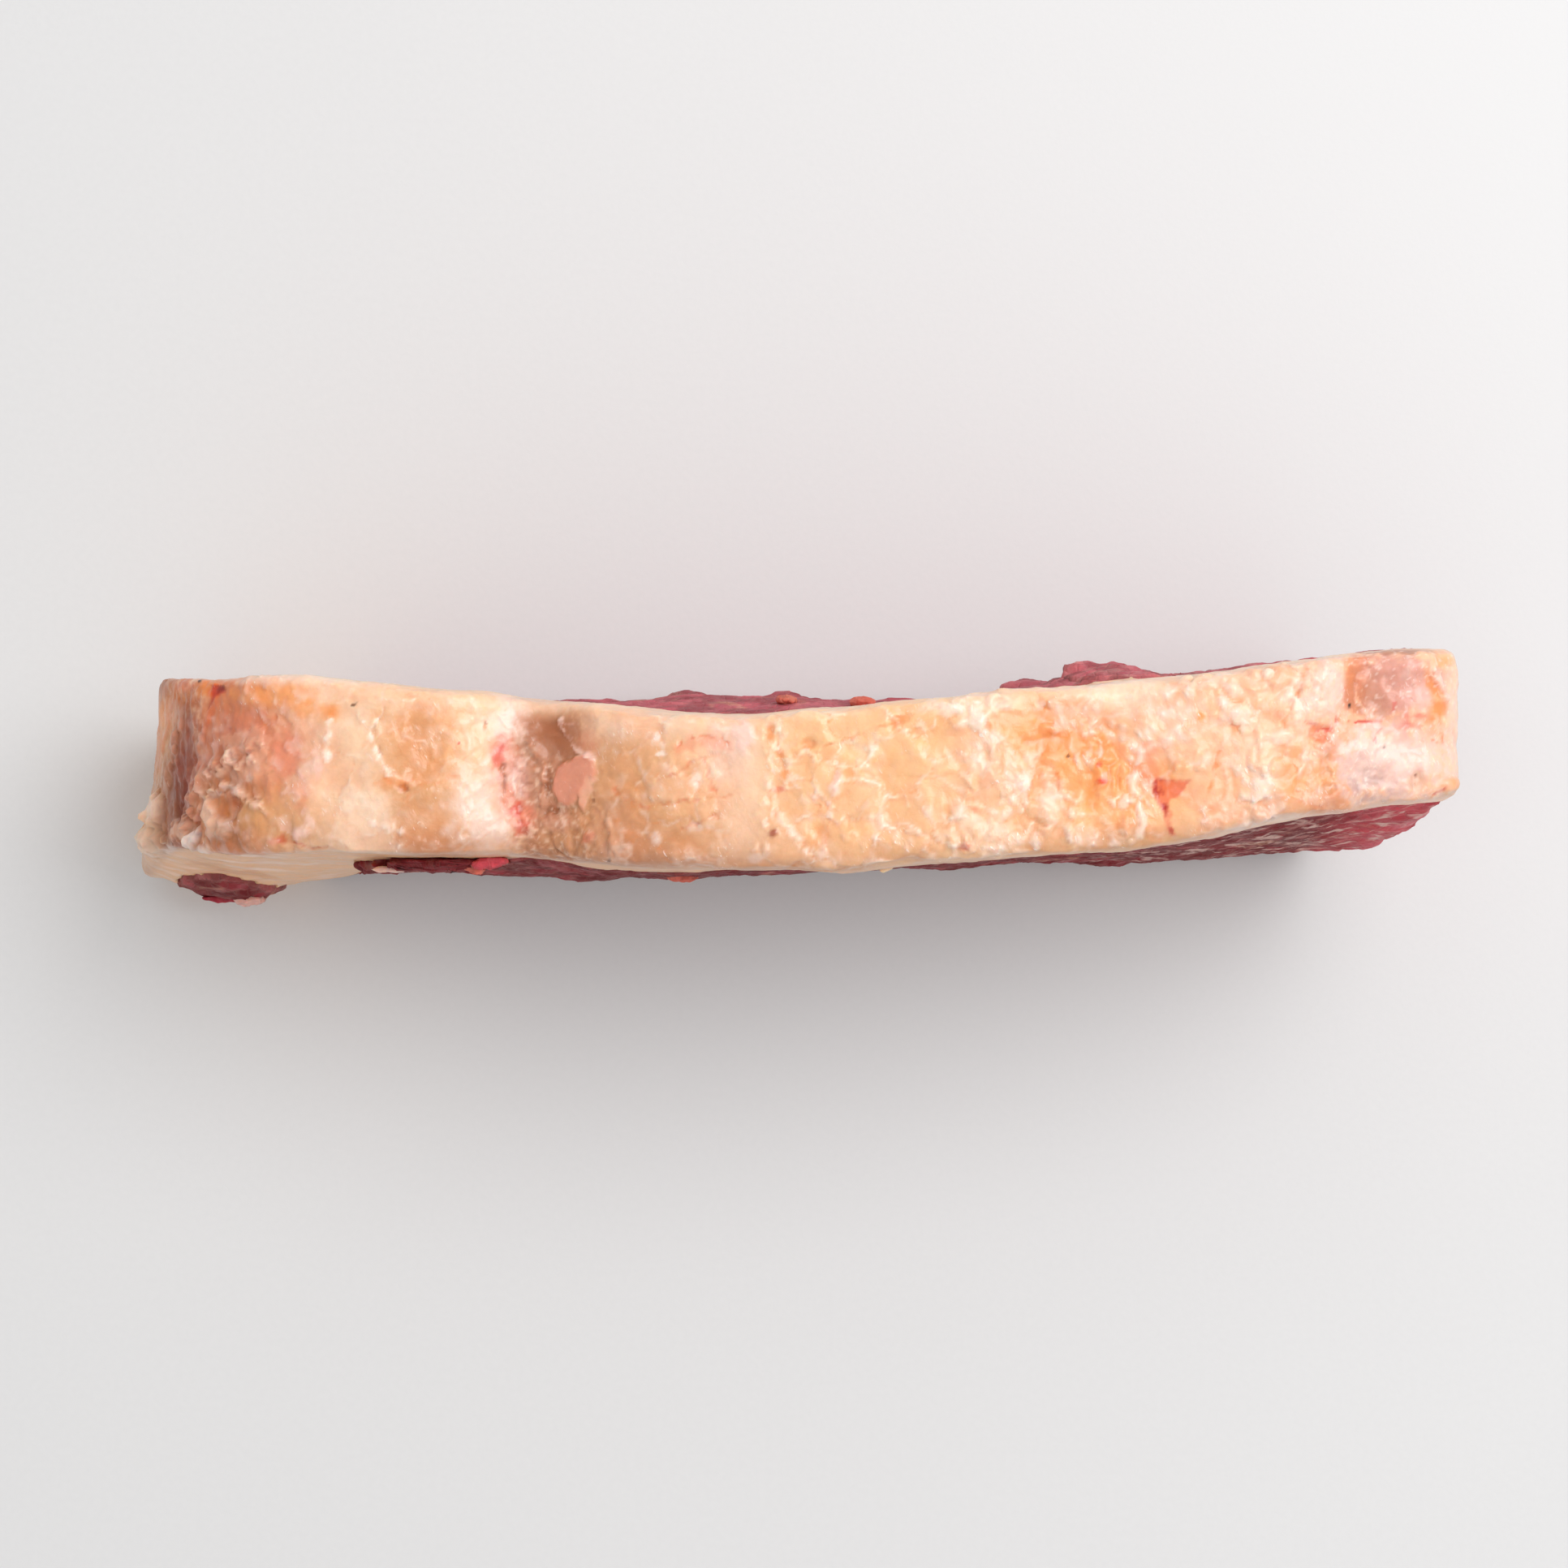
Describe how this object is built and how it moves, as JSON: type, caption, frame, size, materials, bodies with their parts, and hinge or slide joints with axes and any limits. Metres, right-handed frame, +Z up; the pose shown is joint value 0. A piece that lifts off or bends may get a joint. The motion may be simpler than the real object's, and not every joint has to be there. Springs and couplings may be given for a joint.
{
  "type": "raw sirloin steak",
  "caption": "Raw beef sirloin steak standing on its lean edge: a thick cream fat cap along the top, a large eye muscle, and smaller rim and tail muscles set in the fat.",
  "frame": {"origin": "on the surface that the steak stands on, under the middle of its box", "axes": "+X along the steak from the tail to the chine end, +Y through its thickness from the front cut face to the back one, +Z up from the lean edge to the fat cap"},
  "size_m": [0.2202, 0.0428, 0.0844],
  "materials": {
    "fat": "moist satin",
    "lean": "moist satin"
  },
  "bodies": {
    "root": {"fat_cap": "fat", "eye_muscle": "lean", "rim_muscle": "lean", "tail_muscle": "lean"}
  },
  "joints": []
}
